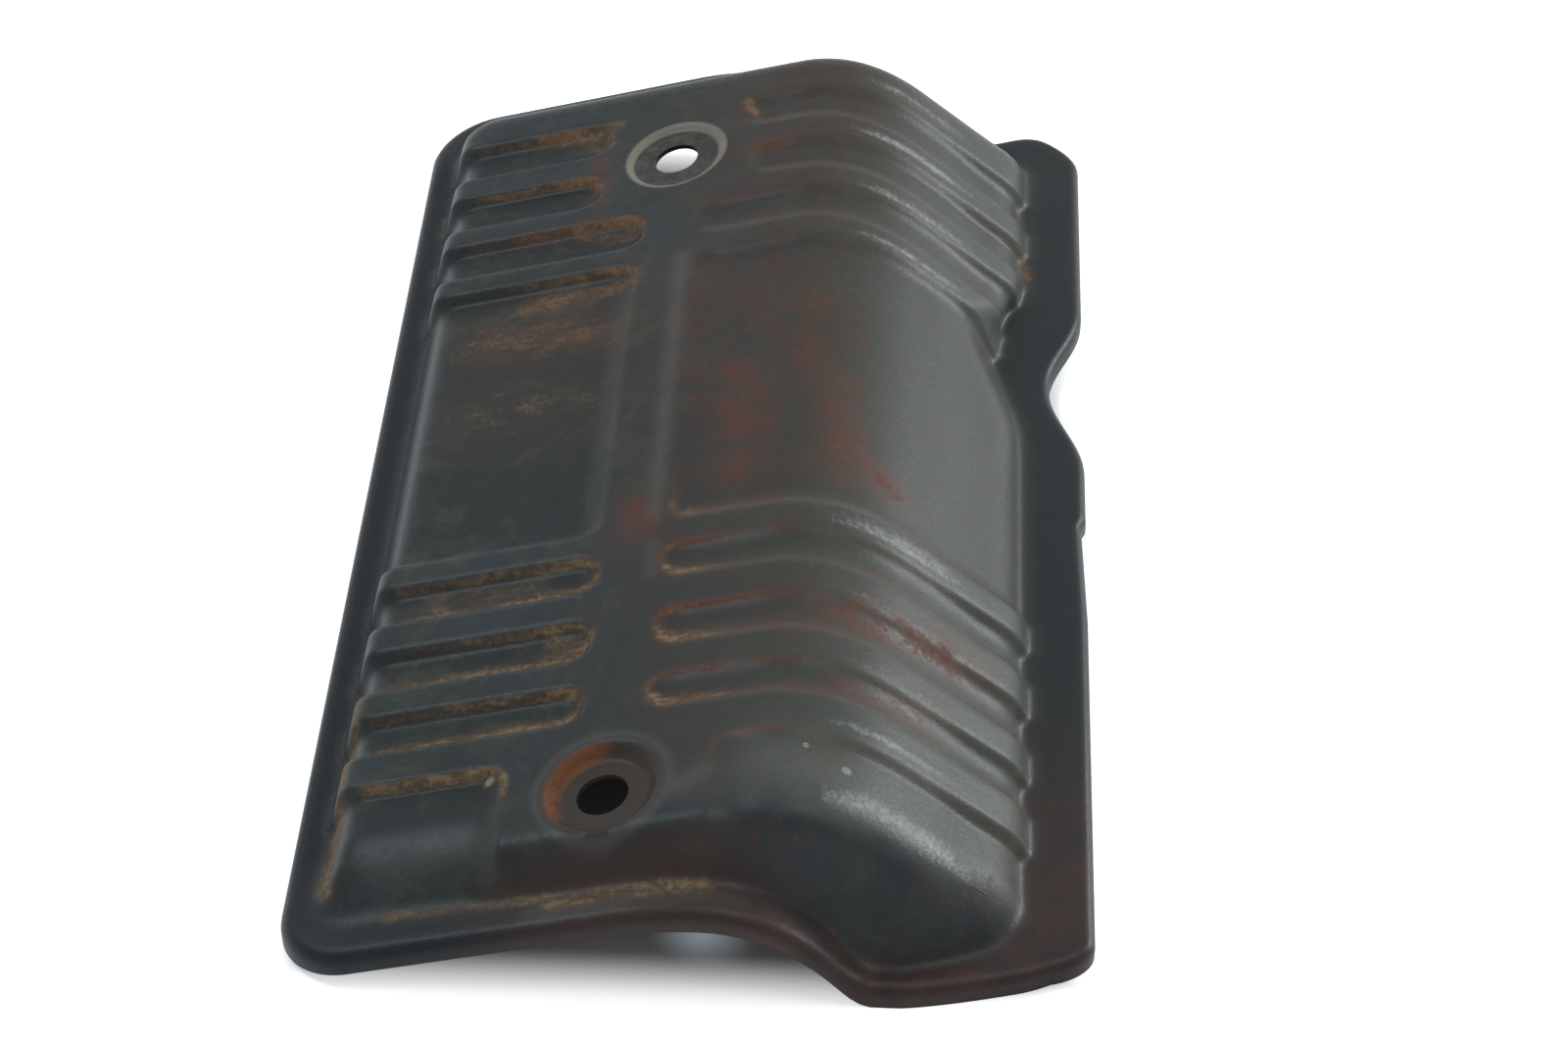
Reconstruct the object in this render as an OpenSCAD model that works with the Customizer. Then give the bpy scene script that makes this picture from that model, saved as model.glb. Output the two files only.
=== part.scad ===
// Exhaust manifold heat shield of a small petrol engine, pressed from one steel sheet.
// A tilted crown with a rounded crest falls away to the right, inside a flange with a
// turned-down lip. Beads cross the crown on both sides of a spine that joins two bolt seats.
// X runs across the shield, Y along it, Z up. Z = 0 is the edge of the lip on its table.

/* [Sheet] */
// Thickness of the steel sheet
sheet_t = 1.0; // [0.8:0.1:1.2]

/* [Outline] */
// Width over the flange
shield_w = 137; // [133:1:141]
// Length over the flange, with the ear at the back
shield_l = 239; // [235:1:243]
// How far the ear stands out past the back edge
ear_out = 2.2; // [1:0.1:3]
// Corner radius of the flange at the left and at the front
corner_r = 13; // [11:0.5:15]
// Corner radius of the ear
ear_r = 9; // [8:0.5:10]
// Depth of the notch in the right edge
notch_depth = 6.6; // [4:0.1:7]
// Step where the right edge was trimmed
trim_step = 0.9; // [0.5:0.1:1.2]
// How far the front edge runs back at its right end
slant_out = 5.5; // [4:0.1:6.5]

/* [Flange] */
// Height of the flange above the lip's edge
lip_h = 4.3; // [3.8:0.1:5]
// Outer radius of the lip's bend
bend_r = 2.2; // [1.8:0.1:2.6]
// Flange width on the left
flange_left = 5.7; // [5.2:0.1:6.5]
// Flange width on the right
flange_right = 11.1; // [10:0.1:12]
// Flange width at the back
flange_back = 9.8; // [9:0.1:11]
// Flange width at the front
flange_front = 7.9; // [7:0.1:9]
// Height of the arch in the front and back runs
arch_h = 17.2; // [14:0.1:19]
// Length of the arch's fall on the right, from its top down to the flange
arch_fall = 27; // [24:0.5:30]

/* [Crown] */
// Tilt of the crown down to the left, in degrees
tilt = 15; // [13:0.5:16]
// Height of the crown at the bolt seats
crown_z = 27; // [25:0.5:29]
// Fall of the right side, in millimetres for each millimetre across
fall = 0.84; // [0.75:0.01:0.95]
// Height at which the right side meets its wall
shoulder_z = 9.4; // [8:0.1:11]
// How far the crest's rounding cuts below its sharp corner
crest_cut = 3.5; // [2.5:0.1:4.5]
// Wall run on the left, from its foot to its top edge
draft_left = 2.6; // [2:0.1:3.5]
// Wall run on the right
draft_right = 2.0; // [1.6:0.1:3]
// Wall run at the back
draft_back = 3.3; // [2.5:0.1:4]
// Wall run at the front
draft_front = 4.0; // [3:0.1:4.5]
// Size of the rounding along the crown's edge
edge_r = 3.0; // [2:0.1:3.5]
// Size of the fillet at the foot of the wall
foot_r = 1.8; // [1.4:0.1:2.2]
// How far the foot of the wall is drawn in beside the notch
pinch_foot = 5.6; // [4:0.1:6.5]
// How far the crown's edge is drawn in there
pinch_crown = 8.8; // [6:0.1:9.5]
// How far the foot of the front wall stands out where the arch comes down
bulge = 2.5; // [1.5:0.1:3.2]
// How far the front panels roll over toward the front wall
front_roll = 2.6; // [1.5:0.1:3]

/* [Beads] */
// Depth of the panels between the beads
panel_depth = 2.0; // [1.2:0.1:2.4]
// Run of a panel's edge from bead level to the panel's floor
panel_edge = 2.2; // [1.8:0.1:2.6]
// Width of the spine between the two rows of panels
spine_w = 8.6; // [7:0.1:10]
// Radius of the panels' inner corners
panel_r = 5; // [3:0.5:6]
// Distance from one bead to the next
bead_pitch = 16.2; // [15.4:0.1:16.6]
// Width of a bead's top
bead_w = 5.4; // [4.6:0.1:6]
// Length of the large middle panels
mid_panel = 78.4; // [70:0.1:82]
// Width of the rim behind the last panels
rim_back = 12.8; // [11.6:0.1:14]

/* [Bolt seats] */
// Diameter of the bolt holes
hole_d = 9; // [8.5:0.5:10]
// Distance between the two bolt holes
hole_pitch = 175; // [173:0.5:177]
// Distance of the hole line from the left edge
hole_line = 54.2; // [52:0.1:56]
// Distance of the front hole from the front edge
hole_front = 23; // [22:0.1:24]
// Radius of the raised pad round the back seat
pad_back = 13.8; // [13:0.1:15]
// Radius of the raised pad round the front seat
pad_front = 16.2; // [15:0.1:17]
// Radius of a seat at its rim
seat_rim_r = 10.2; // [9.8:0.1:10.6]
// Radius of the flat where the back bolt bears
seat_flat_back = 9.0; // [8.5:0.1:9.4]
// Radius of the flat where the front bolt bears
seat_flat_front = 7.8; // [7.5:0.1:8.4]
// Depth of the back seat
seat_depth_back = 1.1; // [0.6:0.1:1.6]
// Depth of the front seat
seat_depth_front = 2.3; // [1.5:0.1:2.8]

/* [Hidden] */
paint = [0.16, 0.17, 0.18];

// Sides of a ring: left, right, back, front, then the corner radii
// left back, right back, left front, right front.
left_x = -shield_w / 2;
right_x = shield_w / 2;
back_y = shield_l / 2 - ear_out;
front_y = -shield_l / 2;
OUTER = [left_x, right_x, back_y, front_y, corner_r, ear_r, corner_r, corner_r];
FOOT = [left_x + flange_left, right_x - flange_right, back_y - flange_back,
        front_y + flange_front, 8, 4, 7, 13];
TOP = [FOOT[0] + draft_left, FOOT[1] - draft_right, FOOT[2] - draft_back,
       FOOT[3] + draft_front, 7, 3, 6, 10.5];

// The bolt holes
hole_x = left_x + hole_line;
hole_y = [front_y + hole_front, front_y + hole_front + hole_pitch];

// The crown's two slopes, and the size of the blend between them
rise = tan(tilt);
shoulder_x = TOP[1];
blend = 4 * crest_cut;

// The beads run in two groups, three behind the large panels and four before them.
front_group = front_y + 35.1;
BEADS_FRONT = [for (k = [0 : 3]) front_group + k * bead_pitch];
back_group = BEADS_FRONT[3] + mid_panel + bead_w;
BEADS_BACK = [for (k = [0 : 2]) back_group + k * bead_pitch];
BEADS = concat(BEADS_FRONT, BEADS_BACK);
far = 200;
// Panels from front to back: front side, back side, and the reach of the raised part
// between the left and right panels, from the hole line.
spine = spine_w / 2;
REACH = [pad_front, spine, spine, spine, spine, spine, pad_back, pad_back];
PANEL_BACK_END = FOOT[2] - rim_back;
PANELS = [for (k = [0 : 7]) [
    k == 0 ? -far : BEADS[k - 1] + bead_w / 2,
    k == 7 ? PANEL_BACK_END : BEADS[k] - bead_w / 2,
    REACH[k]]];

// The notch, the drawn-in wall and the trimmed edge on the right
notch_y = 36.5;
notch_half = 24;
pinch_y = 45;
pinch_half = 27;
pinch_start = 17;
pinch_run = 24;
pinch_end = 43;
pinch_return = 13;
trim_y = -2.5;
trim_run = 26;
ear_x = right_x - 10.5;
ear_half = 9;
slant_x = right_x - 32.5;
slant_run = 25;
// The arch's top, the wall's bulge, and the start and run of the front panels' roll
arch_x = hole_x + 16.3;
bulge_x = hole_x + 48.3;
bulge_half = 14;
roll_y = TOP[3] + 10.5;
roll_run = 8.4;
crest_x = 20;
seat_lift = 1.6;
seat_half = 20;

function clamp01(t) = min(max(t, 0), 1);
function smooth(t) = let (c = clamp01(t)) c * c * (3 - 2 * c);
function bell(t) = abs(t) < 1 ? pow(cos(90 * t), 2) : 0;
function mix(a, b, t) = a + (b - a) * t;
// The lower of two heights, with their corner blended over k
function lower(a, b, k) =
    let (h = clamp01(0.5 + (b - a) / (2 * k))) mix(b, a, h) - k * h * (1 - h);
// A rounded corner: a quadratic curve from a to c that turns at b
function turn(a, b, c, t) = a * pow(1 - t, 2) + b * 2 * t * (1 - t) + c * t * t;

// How far the foot of the right wall and the crown's right edge are drawn in
function foot_pinch(y) = pinch_foot * bell((y - pinch_y) / pinch_half);
function crown_pinch(y) = pinch_crown * clamp01((y - pinch_start) / pinch_run)
    * (1 - smooth((y - pinch_end) / pinch_return));

// Height of the crown at bead level
function crown(x) = lower(crown_z + rise * (x - hole_x),
    shoulder_z + fall * (shoulder_x - x), blend);
// Rise of the flange's front and back runs: along the tilt, then down past the crest
function hump(x) = arch_h * (1 - pow(max(x - arch_x, 0) / arch_fall, 2.3));
function arch(x) = -lower(-lower(rise * (x - left_x + 1), hump(x), 2), 0, 2.2);
function flange_z(x, y) = lip_h + arch(x) * clamp01(
    smooth((FOOT[3] + 19.4 - y) / 16) + smooth((y - FOOT[2] + 15.3) / 14));

// Signed distance to a box with round corners, negative inside
function box_distance(p, lo, hi, r) =
    let (q = [for (k = [0, 1]) abs(p[k] - (lo[k] + hi[k]) / 2) - (hi[k] - lo[k]) / 2 + r])
    norm([max(q[0], 0), max(q[1], 0)]) + min(max(q[0], q[1]), 0) - r;
// Share of the panel depth at a point: 0 on a bead, 1 on a panel's floor
function recess(x, y) = let (
    panels = max([for (p = PANELS, side = [-1, 1]) let (
        r = min(panel_r, (p[1] - p[0]) / 2 - 0.2),
        lo = [side < 0 ? -far : hole_x + p[2], p[0]],
        hi = [side < 0 ? hole_x - p[2] : far, p[1]])
        smooth(-box_distance([x, y], lo, hi, r) / panel_edge)]),
    pads = [for (k = [0, 1]) smooth(
        (norm([x - hole_x, y - hole_y[k]]) - [pad_front, pad_back][k] + 0.2) / panel_edge)])
    panels * pads[0] * pads[1];
// Height of the pressed sheet; the front panels also roll over toward the front wall
function roll(y) = front_roll * pow(min(max(roll_y - y, 0) / roll_run, 1.2), 2);
function body_z(x, y) = crown(x) - recess(x, y) * (panel_depth + roll(y));

// Grid lines across the crown between the rows of the edge profile
pad_end = max(pad_back, pad_front) + panel_edge;
spine_end = spine + panel_edge;
clear = edge_r + panel_depth + 0.6;
XI = let (a = TOP[0] + clear, b = TOP[1] - clear) concat(
    [a, mix(a, hole_x - pad_end, 0.5)],
    [for (k = [0 : 3]) hole_x - mix(pad_end, spine_end, k / 4)],
    [hole_x - spine_end, hole_x - spine, hole_x, hole_x + spine, hole_x + spine_end],
    [for (k = [1 : 4]) hole_x + mix(spine_end, pad_end, k / 4)],
    [for (k = [1 : 11]) mix(hole_x + pad_end, b, k / 11)]);
YI = concat(
    [for (t = [0, 0.33, 0.66, 1]) mix(TOP[3] + edge_r + 1.3, roll_y + 0.6, t)],
    [mix(roll_y, BEADS[0] - bead_w / 2 - panel_edge, 0.55)],
    [for (k = [0 : 6]) let (c = BEADS[k], h = bead_w / 2) each concat(
        [c - h - panel_edge, c - h, c + h, c + h + panel_edge],
        k == 3 ? [for (y = [-26, trim_y - 0.6, trim_y + 0.6, 12, pinch_start, 23, 29, 35]) y] : [])],
    [mix(BEADS[6] + bead_w / 2 + panel_edge, PANEL_BACK_END - panel_edge, 0.5),
     PANEL_BACK_END - panel_edge, PANEL_BACK_END, TOP[2] - edge_r - 1.5]);

// Rows of the edge profile, from the lip's edge to the crown
ROWS = [["lip", 0], ["lip", 1], ["bend", 45], ["bend", 90], ["flange", 1],
        ["foot", 0.5], ["foot", 1], ["wall", 1], ["edge", 0.5], ["edge", 1]];
K = len(ROWS);
NX = len(XI) + 2 * K;
NY = len(YI) + 2 * K;

function inset(ring, d) = [ring[0] + d, ring[1] - d, ring[2] - d, ring[3] + d,
    each [for (k = [4 : 7]) max(ring[k] - d, 0.5)]];
// Position of grid line i of n along a side of ring k
function along(i, n, k, lo, hi, inner) =
    i < K ? mix(lo, inner[0], (i - k) / (K - k))
    : n - 1 - i < K ? mix(hi, inner[len(inner) - 1], (n - 1 - i - k) / (K - k))
    : inner[i - K];
// Point of a ring at grid place i, j, with the outward direction: [x, y, nx, ny]
function ring_point(i, j, k, ring) = let (
    x = along(i, NX, k, ring[0], ring[1], XI),
    y = along(j, NY, k, ring[3], ring[2], YI),
    upright = i == k || NX - 1 - i == k,
    level = j == k || NY - 1 - j == k,
    cx = i < NX / 2 ? -1 : 1,
    cy = j < NY / 2 ? -1 : 1,
    sx = cx < 0 ? ring[0] : ring[1],
    sy = cy < 0 ? ring[3] : ring[2],
    rho = ring[(cy < 0 ? 6 : 4) + (cx < 0 ? 0 : 1)],
    s = upright && level ? 0 : upright ? abs(sy - y) : abs(sx - x),
    a = 45 * (1 + s / rho),
    ax = upright && !level ? sin(a) : cos(a),
    ay = upright && !level ? cos(a) : sin(a))
    s < rho
        ? [sx + cx * rho * (ax - 1), sy + cy * rho * (ay - 1), cx * ax, cy * ay]
        : [x, y, upright ? cx : 0, level ? cy : 0];

// Outer edge of the flange, with the notch, the trimmed step, the ear and the slant
function edge_point(i, j, k, d) = let (
    p = ring_point(i, j, k, inset(OUTER, d)),
    trim = p[1] < trim_y ? trim_step * clamp01(1 - (trim_y - p[1]) / trim_run) : 0,
    cut = notch_depth * bell((p[1] - notch_y) / notch_half) + trim,
    ear = ear_out * bell((p[0] - ear_x) / ear_half),
    slant = slant_out * pow(clamp01((p[0] - slant_x) / slant_run), 1.3))
    [p[0] - cut * max(p[2], 0), p[1] + ear * max(p[3], 0) + slant * max(-p[3], 0)];
// A point of the wall's foot or top edge, drawn in by pinch and, in front, moved out by
// swell and by lift, which carries the crown past the front seat: [x, y, nx, ny]
function wall_point(p, pinch, swell, lift) = let (
    out = swell * bell((p[0] - bulge_x) / bulge_half) + lift * bell((p[0] - hole_x) / seat_half))
    [p[0] - pinch * max(p[2], 0), p[1] - out * max(-p[3], 0), p[2], p[3]];

// Point of the outer face at grid place i, j
function grid_point(i, j) = let (
    k = min(i, NX - 1 - i, j, NY - 1 - j))
    k >= K ? crown_point(XI[i - K], YI[j - K])
    : profile_point(i, j, k, ROWS[k][0], ROWS[k][1]);
// Point of the crown, drawn in beyond the crest where the wall is
function crown_point(x, y) = let (
    p = x - crown_pinch(y) * clamp01((x - crest_x) / (XI[len(XI) - 1] - crest_x)))
    [p, y, body_z(p, y)];
function profile_point(i, j, k, part, t) =
    part == "lip" ? let (e = edge_point(i, j, k, 0))
        [e[0], e[1], flange_z(e[0], e[1]) - mix(lip_h, bend_r, t)]
    : part == "bend" ? let (e = edge_point(i, j, k, bend_r * (1 - cos(t))))
        [e[0], e[1], flange_z(e[0], e[1]) - bend_r * (1 - sin(t))]
    : let (
        ring = ring_point(i, j, k, TOP),
        top = wall_point(ring, crown_pinch(ring[1]), 0, seat_lift),
        n = [top[2], top[3]],
        inward = panel_depth * recess(top[0], top[1]) * (1 - 0.6 * max(-n[1], 0)),
        base = ring_point(i, j, k, FOOT),
        foot = wall_point(base, foot_pinch(base[1]), bulge, seat_lift / 2),
        f = [foot[0], foot[1]] - n * inward * 0.8,
        s = [top[0], top[1]] - n * inward,
        foot_at = [f[0], f[1], flange_z(f[0], f[1])],
        top_at = [s[0], s[1], body_z(s[0], s[1])],
        outside = f + n * foot_r,
        inside = s - n * edge_r,
        start = [outside[0], outside[1], flange_z(outside[0], outside[1])],
        end = [inside[0], inside[1], body_z(inside[0], inside[1])],
        h = norm(top_at - foot_at),
        low = mix(foot_at, top_at, min(foot_r / h, 0.45)),
        high = mix(top_at, foot_at, min(edge_r / h, 0.5)))
        part == "flange" ? start
        : part == "foot" ? turn(start, foot_at, low, t)
        : part == "wall" ? high
        : turn(high, top_at, end, t);

OUTSIDE = [for (i = [0 : NX - 1]) [for (j = [0 : NY - 1]) grid_point(i, j)]];
function unit(v) = v / norm(v);
// Direction out of the sheet at a grid place, from its neighbours
function direction(i, j) =
    (i == 0 || i == NX - 1) && (j == 0 || j == NY - 1)
        ? direction(i == 0 ? 1 : NX - 2, j == 0 ? 1 : NY - 2)
        : unit(cross(OUTSIDE[min(i + 1, NX - 1)][j] - OUTSIDE[max(i - 1, 0)][j],
                     OUTSIDE[i][min(j + 1, NY - 1)] - OUTSIDE[i][max(j - 1, 0)]));
function inside_point(i, j) = let (
    n = direction(i, j),
    rim = min(i, NX - 1 - i, j, NY - 1 - j) == 0)
    OUTSIDE[i][j] - sheet_t * (rim ? unit([n[0], n[1], 0]) : n);

// The pressing without its seats: two faces joined along the lip's edge
module pressing() {
    points = concat(
        [for (i = [0 : NX - 1], j = [0 : NY - 1]) OUTSIDE[i][j]],
        [for (i = [0 : NX - 1], j = [0 : NY - 1]) inside_point(i, j)]);
    count = NX * NY;
    place = function (i, j) i * NY + j;
    rim = concat(
        [for (i = [0 : NX - 2]) place(i, 0)],
        [for (j = [0 : NY - 2]) place(NX - 1, j)],
        [for (i = [NX - 1 : -1 : 1]) place(i, NY - 1)],
        [for (j = [NY - 1 : -1 : 1]) place(0, j)]);
    faces = concat(
        [for (i = [0 : NX - 2], j = [0 : NY - 2]) let (
            a = place(i, j), b = place(i + 1, j), c = place(i + 1, j + 1), d = place(i, j + 1),
            split = (i < NX / 2 - 0.5) != (j < NY / 2 - 0.5))
            each concat(
                split ? [[a, d, b], [b, d, c]] : [[a, c, b], [a, d, c]],
                split ? [[a, b, d] + count * [1, 1, 1], [b, c, d] + count * [1, 1, 1]]
                      : [[a, b, c] + count * [1, 1, 1], [a, c, d] + count * [1, 1, 1]])],
        [for (k = [0 : len(rim) - 1]) let (a = rim[k], b = rim[(k + 1) % len(rim)])
            each [[a, b, b + count], [a, b + count, a + count]]]);
    polyhedron(points = points, faces = faces, convexity = 8);
}

// The crown's plane at a bolt hole
module at_seat(y) {
    translate([hole_x, y, crown_z]) rotate([0, -tilt, 0]) children();
}

// A pressed dish that carries the bolt hole; its rim lies inside the thickness of the sheet
lap = 0.2;
lap_r = seat_rim_r + 0.9;
opening_r = seat_rim_r + 0.3;
module seat_dish(flat_r, depth) {
    rotate_extrude($fn = 64) polygon([
        [hole_d / 2, -depth], [flat_r, -depth], [seat_rim_r, -lap], [lap_r, -lap],
        [lap_r, lap - sheet_t], [seat_rim_r - 0.3, lap - sheet_t],
        [flat_r - 0.3, -depth - sheet_t], [hole_d / 2, -depth - sheet_t]]);
}

module heat_shield() {
    color(paint) union() {
        difference() {
            pressing();
            for (y = hole_y) at_seat(y)
                cylinder(r = opening_r, h = 6 * sheet_t, center = true, $fn = 64);
        }
        at_seat(hole_y[0]) seat_dish(seat_flat_front, seat_depth_front);
        at_seat(hole_y[1]) seat_dish(seat_flat_back, seat_depth_back);
    }
}

heat_shield();
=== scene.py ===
# %% [markdown]
# # An exhaust heat shield, pressed from one sheet of steel
#
# A heat shield sits over the exhaust side of a small engine. It is one piece of steel,
# about a millimetre thick, pressed between two dies: a tilted crown with a rounded crest,
# a wall round it, and a flange whose lip turns down. Beads stiffen the crown, and two
# sunken seats take the bolts. Years of heat, dust and rain give it its colour.
#
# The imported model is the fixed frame. It has the same form in fewer facets, and this
# script builds the finished surface in its place, at the same size.

import bpy
import numpy as np
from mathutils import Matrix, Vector


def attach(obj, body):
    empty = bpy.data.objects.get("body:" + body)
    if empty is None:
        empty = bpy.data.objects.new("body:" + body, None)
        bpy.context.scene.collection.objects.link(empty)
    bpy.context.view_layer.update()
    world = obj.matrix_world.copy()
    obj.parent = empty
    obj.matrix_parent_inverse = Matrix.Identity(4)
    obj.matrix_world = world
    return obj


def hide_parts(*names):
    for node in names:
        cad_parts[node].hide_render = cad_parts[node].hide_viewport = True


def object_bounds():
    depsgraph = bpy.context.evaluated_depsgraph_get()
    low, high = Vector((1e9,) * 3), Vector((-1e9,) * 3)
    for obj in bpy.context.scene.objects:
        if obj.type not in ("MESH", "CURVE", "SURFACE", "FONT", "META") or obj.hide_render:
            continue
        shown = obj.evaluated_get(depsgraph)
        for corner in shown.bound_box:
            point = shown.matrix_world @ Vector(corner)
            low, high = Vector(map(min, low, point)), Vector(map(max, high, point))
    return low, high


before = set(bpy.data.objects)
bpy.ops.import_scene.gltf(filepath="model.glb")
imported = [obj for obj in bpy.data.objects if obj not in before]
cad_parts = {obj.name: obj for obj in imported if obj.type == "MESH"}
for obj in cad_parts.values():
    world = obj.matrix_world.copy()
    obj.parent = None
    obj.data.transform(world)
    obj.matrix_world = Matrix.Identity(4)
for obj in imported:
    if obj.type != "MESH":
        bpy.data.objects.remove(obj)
cad_low, cad_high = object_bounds()
MM = 0.001
half_w = cad_high.x / MM
half_l = cad_high.y / MM
print(f"frame: {2 * half_w:.1f} x {2 * half_l:.1f} x {cad_high.z / MM:.1f} mm")

# %% [markdown]
# ## Sizes
#
# A press tool is drawn from outside in: the outline of the flange, the foot of the wall,
# and the edge of the crown. Each is a rectangle with round corners, so eight numbers hold
# it: left, right, back and front, then the corner radii, from the back left to the front
# right. All lengths in this script are millimetres until the mesh is made.

# %% The three rings of the pressing
sheet_t = 1.0
ear_out = 2.3
OUTER = dict(left=-half_w, right=half_w, back=half_l - ear_out + 0.2, front=-half_l + 0.2,
             radii=(13.0, 9.0, 13.0, 13.0))
FOOT = dict(left=-half_w + 5.7, right=half_w - 11.1, back=half_l - 12.0, front=-half_l + 8.0,
            radii=(8.0, 4.0, 7.0, 13.0))
CROWN = dict(left=FOOT["left"] + 2.6, right=FOOT["right"] - 2.0, back=FOOT["back"] - 2.3,
             front=FOOT["front"] + 4.0, radii=(7.0, 3.0, 6.0, 10.5))
lip_h = 4.3
bend_r = 2.2
foot_r = 1.8
edge_r = 3.0
back_roll = 1.5
hole_x = -half_w + 54.2
hole_r = 4.5
hole_y = (half_l - 41.0, -half_l + 23.0)
tilt = np.radians(15.0)
crown_z = 27.0
print(f"bolt holes {hole_y[0] - hole_y[1]:.0f} mm apart, {hole_x:.1f} mm from the middle")

# %% [markdown]
# ## Curves that everything is made of
#
# Drawn steel has no sharp steps, so every change from one level to another goes through a
# smooth step, a bell or a blend. Writing them once as functions of whole arrays keeps the
# shapes short, and numpy works out every point of the surface at the same time.

# %% Steps, bells and blends
def smooth(t):
    """A step from 0 to 1 with level ends: 3 t squared less 2 t cubed, t held in 0 to 1."""
    t = np.clip(t, 0.0, 1.0)
    return t * t * (3.0 - 2.0 * t)


def bell(t):
    """One hump: cosine squared of a quarter turn times t, and 0 where t is past 1."""
    return np.cos(np.clip(t, -1.0, 1.0) * np.pi / 2) ** 2


def mix(a, b, t):
    """The straight line from a to b, at share t."""
    return a + (b - a) * t


def lower(a, b, k):
    """The lower of a and b, with a parabola of width k where they cross."""
    h = np.clip(0.5 + (b - a) / (2.0 * k), 0.0, 1.0)
    return mix(b, a, h) - k * h * (1.0 - h)


def turn(a, b, c, t):
    """A quadratic curve from a to c that bends at b, at share t of its way."""
    return a * (1 - t) ** 2 + b * 2 * t * (1 - t) + c * t * t


# %% [markdown]
# ## The crown and the arch
#
# The crown is two planes. One tilts down to the left, where the bolts stand, and one falls
# to the right. Two planes alone would meet in a knife edge, so their heights go through the
# blend, which leaves the broad rounded crest. The flange is flat along both sides, but in
# front and behind it climbs with the tilt and comes down again past the crest.

# %% Heights of the crown and the flange
crest_blend = 14.0
fall = 0.84
shoulder_z = 9.35
arch_top = 17.2


def crown(x):
    """Height at bead level: the lower of the tilted plane and the right slope, blended."""
    return lower(crown_z + np.tan(tilt) * (x - hole_x), shoulder_z + fall * (CROWN["right"] - x),
                 crest_blend)


def arch(x):
    """Rise of the flange's end runs: a slope of 0.27, held under a hump that falls past x = 2."""
    hump = arch_top * (1.0 - (np.maximum(x - 2.0, 0.0) / 27.0) ** 2.3)
    return lower(0.27 * np.maximum(x + half_w, 0.0), -lower(-hump, 0.0 * x, 4.0), 2.0)


def flange_z(x, y):
    """Height of the flange: the lip's height, and the arch where y is near either end."""
    near_end = smooth((FOOT["front"] + 19.4 - y) / 16.0) + smooth((y - FOOT["back"] + 15.5) / 14.0)
    return lip_h + arch(x) * np.clip(near_end, 0.0, 1.0)


print(f"crest {crown(np.linspace(-60, 55, 500)).max():.1f} mm high")

# %% [markdown]
# ## Panels, beads and seats
#
# The press pushes panels two millimetres down between the beads, so the beads are simply
# what is left at full height, with the spine between the left and the right row. A panel
# is a box with round corners. Its signed distance gives how far inside a point is, and a
# smooth step of that distance gives the sloping edge. The right panels start shallow at the
# spine and deepen toward the wall, and two of the left ones run out softly.

# %% Panels pressed into the crown
panel_depth = 2.0
panel_edge = (2.2, 3.4)
panel_corner = 5.0
BEADS = ((80.2, 5.6), (63.6, 4.8), (47.6, 4.6),
         (-36.0, 4.8), (-51.9, 6.2), (-68.5, 5.4), (-84.4, 6.6))
LEFT_ENDS = (-27.7, -28.4, -18.6, -18.6, -18.6, -18.6, -18.6, -30.2)
RIGHT_ENDS = (-2.3, 0.3, -10.2, -10.0, -10.0, -9.7, -9.8, 2.4)
SOFT_ENDS = (3, 7)
soft_run = 6.5
rim_y = 94.6
far = 200.0
panel_tops = [rim_y] + [y - w / 2 for y, w in BEADS]
panel_feet = [y + w / 2 for y, w in BEADS] + [-far]
PANELS = list(zip(panel_feet, panel_tops, LEFT_ENDS, RIGHT_ENDS))
pad_r = (13.6, 16.2)
front_roll = 2.6
roll_from, roll_run = -97.0, 8.4
print(len(PANELS) * 2, "panels between", len(BEADS), "beads")

# %% How far inside a panel a point is
def inside_box(x, y, x0, x1, y0, y1, r):
    """How far a point is inside a box with corner radius r; negative outside."""
    qx = np.abs(x - (x0 + x1) / 2) - (x1 - x0) / 2 + r
    qy = np.abs(y - (y0 + y1) / 2) - (y1 - y0) / 2 + r
    outside = np.hypot(np.maximum(qx, 0), np.maximum(qy, 0))
    return r - outside - np.minimum(np.maximum(qx, qy), 0)


def seat_distance(x, y, k):
    """Distance from bolt hole k, measured in the tilted plane of the crown."""
    return np.hypot((x - hole_x) / np.cos(tilt), y - hole_y[k])


def panel_depths(x, y):
    """For each panel, left then right, how far inside it a point is."""
    return [inside_box(x, y, x0, x1, y0, y1, min(panel_corner, (y1 - y0) / 2 - 0.2))
            for y0, y1, end_l, end_r in PANELS for x0, x1 in ((-far, end_l), (end_r, far))]


def right_share(x, end):
    """How deep a right panel is: it starts softly at its end, and is deepest at the wall."""
    on_slope = 0.24 * smooth((x - 14.0) / 20.0)
    at_wall = 0.33 * smooth((x - 39.0) / 9.0)
    return smooth((x - end + 1.0) / 8.0) * (0.38 + on_slope + at_wall)


def recess(x, y):
    """0 at bead level, 1 on a panel's floor; the round pads of the seats stay at 0."""
    shares = [smooth(d / panel_edge[n % 2]) for n, d in enumerate(panel_depths(x, y))]
    for n, end in enumerate(RIGHT_ENDS):
        shares[2 * n + 1] = shares[2 * n + 1] * right_share(x, end)
    for n in SOFT_ENDS:
        shares[2 * n] = shares[2 * n] * smooth((LEFT_ENDS[n] - x + 0.4) / soft_run)
    share = np.max(shares, axis=0)
    for k in (0, 1):
        share = share * smooth((np.hypot(x - hole_x, y - hole_y[k]) - pad_r[k]) / panel_edge[0])
    return share


# %% [markdown]
# The two bolt seats are dishes: a flat round floor, and a sloping ring up to the rim. The
# front one is pressed twice as deep as the back one. The panels in front also roll over
# toward the front wall, where the crown of the real one comes down early.

# %% Seats, and the finished height
seat_rim = (10.3, 10.4)
seat_flat = (8.8, 7.6)
seat_depth = (1.1, 2.3)


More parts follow.
